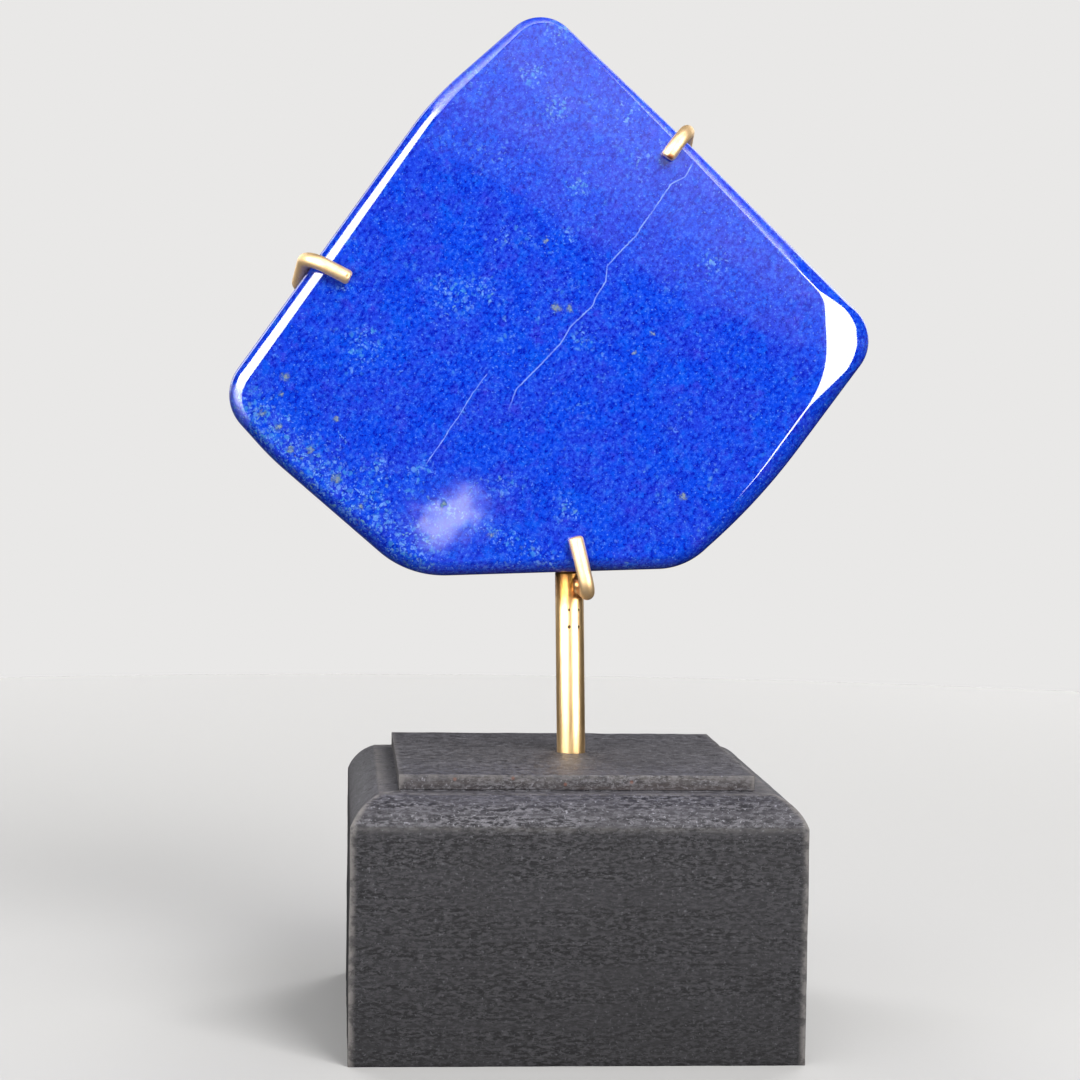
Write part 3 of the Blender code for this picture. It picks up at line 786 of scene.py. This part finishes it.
# Braze: brass filler that ran between the wires and the post when they were joined, and set in smooth lumps
BRAZES = [
    ("bottom_braze", BOTTOM_BRAZE + Vector((-0.3, 0.1, 0.5)) * MM, (1.7, 1.5, 2.3)),
    ("spine_foot_braze", post_axis(66.5 * MM) + Vector((0, 2.6, 0)) * MM, (1.7, 1.5, 6.0)),
    ("left_fork_braze", spine_at(117.0 * MM), (2.2, 1.5, 1.8)),
    ("right_fork_braze", spine_at(138.0 * MM), (2.2, 1.5, 1.9)),
]
flowed = bpy.data.textures.new("flowed_filler", "CLOUDS")
flowed.noise_scale = 1.6 * MM
braze, tree, shader, place = new_finish("brazing_filler", "#B98A55", 0.4, metallic=1.0)
mottle = add_node(tree, "TexNoise", {"Vector": place, "Scale": 1 / (1.1 * MM), "Detail": 4.0, "Roughness": 0.65})
body = tinted(tree, colour_of("#C39A68"), [(mottle, 0.4, 0.6, 0.85, "#8A4E24"), (mottle, 0.6, 0.7, 0.6, "#D2957A")])
tree.links.new(body, shader.inputs["Base Color"])
tree.links.new(add_node(tree, "MapRange", [mottle, 0.3, 0.7, 0.32, 0.5]), shader.inputs["Roughness"])
for name, centre, reach in BRAZES:
    bpy.ops.object.select_all(action="DESELECT")
    bpy.ops.mesh.primitive_uv_sphere_add(
        segments=40, ring_count=24, radius=MM, location=centre, scale=reach
    )
    lump = named(name)
    unevenness = lump.modifiers.new("unevenness", "DISPLACE")
    unevenness.texture = flowed
    unevenness.strength = 0.5 * MM
    bpy.ops.object.modifier_apply(modifier="unevenness")
    bpy.ops.object.shade_smooth()
    lump.data.materials.append(braze)
    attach(lump, "root")


# Studio: a plain pale floor, a soft box on either side of the camera, a key light high on the right and dim fills
# behind, as a small object is lit on a table. The camera stands where the photograph was taken.
FLOOR_RADIUS = 0.62
bpy.ops.object.select_all(action="DESELECT")
bpy.ops.mesh.primitive_circle_add(vertices=256, radius=FLOOR_RADIUS, fill_type="NGON")
floor = named("studio_floor")
floor_paint, tree, shader, place = new_finish("matt_paper", "#A9A8A7", 0.9)
floor.data.materials.append(floor_paint)
floor.visible_diffuse = False
floor.visible_glossy = False

world = bpy.data.worlds.new("studio_air")
bpy.context.scene.world = world
world.use_nodes = True
backdrop = world.node_tree.nodes["Background"]
backdrop.inputs["Color"].default_value = colour_of("#E9E8E7")
seen = world.node_tree.nodes.new("ShaderNodeLightPath").outputs["Is Camera Ray"]
dimmed = add_node(world.node_tree, "MapRange", {"Value": seen, "To Min": 0.04, "To Max": 1.0})
world.node_tree.links.new(dimmed, backdrop.inputs["Strength"])

# Soft boxes that the polish mirrors and that don't fall on the matt surfaces, then the light that does. Each has a
# name, azimuth from the front towards +X, elevation and roll in degrees, then distance, width and height in metres
# and brightness
MIRRORED, FALLING = "mirrored", "falling"
SOFT_LIGHTS = [
    ("right_box", MIRRORED, 39, 4, 0, 1.0, 0.64, 0.66, 14),
    ("left_box", MIRRORED, -50, 14, 0, 1.0, 0.98, 0.72, 14),
    ("haze_low", MIRRORED, 12.4, 13.6, -28, 1.26, 0.5, 0.5, 0.35),
    ("haze_middle", MIRRORED, 13.1, 14.9, -28, 1.26, 0.5, 0.5, 0.35),
    ("haze_high", MIRRORED, 13.9, 16.2, -28, 1.26, 0.5, 0.5, 0.35),
    ("patch_card", MIRRORED, 1.0, -4.7, 30, 0.96, 0.035, 0.02, 5),
    ("top_box", MIRRORED, 8, 60, 0, 1.1, 1.0, 0.5, 5),
    ("back_left", MIRRORED, -142, 22, 0, 1.1, 0.5, 0.8, 3.0),
    ("back_right", MIRRORED, 142, 22, 0, 1.1, 0.5, 0.8, 3.0),
    ("right_key", FALLING, 26, 30, 0, 1.0, 0.5, 0.5, 17.5),
    ("left_fill", FALLING, -38, 0, 0, 1.0, 1.0, 0.2, 11.0),
    ("overhead", FALLING, 10, 76, 0, 1.1, 0.8, 0.8, 4.0),
    ("back_fill_left", FALLING, -150, 25, 0, 1.1, 0.6, 0.6, 7.0),
    ("back_fill_right", FALLING, 150, 25, 0, 1.1, 0.6, 0.6, 7.0),
]
LIT_POINT = Vector((0.0, 0.0, 0.12))
for name, kind, azimuth, elevation, roll, distance, width, tall, radiance in SOFT_LIGHTS:
    azimuth, elevation = radians(azimuth), radians(elevation)
    away = Vector((sin(azimuth) * cos(elevation), -cos(azimuth) * cos(elevation), sin(elevation)))
    turned = away.to_track_quat("Z", "Y").to_matrix() @ Matrix.Rotation(radians(roll), 3, "Z")
    bpy.ops.object.light_add(type="AREA", location=LIT_POINT + away * distance, rotation=turned.to_euler())
    light = bpy.context.object
    light.name = name
    light.visible_diffuse = kind == FALLING
    light.visible_glossy = kind == MIRRORED
    light.data.shape = "RECTANGLE"
    light.data.size = width
    light.data.size_y = tall
    light.data.energy = radiance * pi * width * tall

CAMERA_AT = Vector((-0.0404, -0.4799, 0.1072))
CAMERA_YAW = radians(4.27)
CAMERA_PITCH = radians(2.74)
CAMERA_ROLL = radians(0.79)
FRAME_PIXELS = 1080
FOCAL_PIXELS = 2750
bpy.ops.object.camera_add()
camera = bpy.context.object
ahead = Vector((
    sin(CAMERA_YAW) * cos(CAMERA_PITCH), cos(CAMERA_YAW) * cos(CAMERA_PITCH), -sin(CAMERA_PITCH)
))
level_right = Vector((cos(CAMERA_YAW), -sin(CAMERA_YAW), 0))
level_down = ahead.cross(level_right)
right = level_right * cos(CAMERA_ROLL) - level_down * sin(CAMERA_ROLL)
down = level_right * sin(CAMERA_ROLL) + level_down * cos(CAMERA_ROLL)
turned = Matrix((right, -down, -ahead)).transposed().to_4x4()
camera.matrix_world = Matrix.Translation(CAMERA_AT) @ turned
camera.data.sensor_width = 36.0
camera.data.lens = camera.data.sensor_width * FOCAL_PIXELS / FRAME_PIXELS
camera.data.clip_start = 0.01
bpy.context.scene.camera = camera
bpy.context.scene.view_settings.view_transform = "Standard"
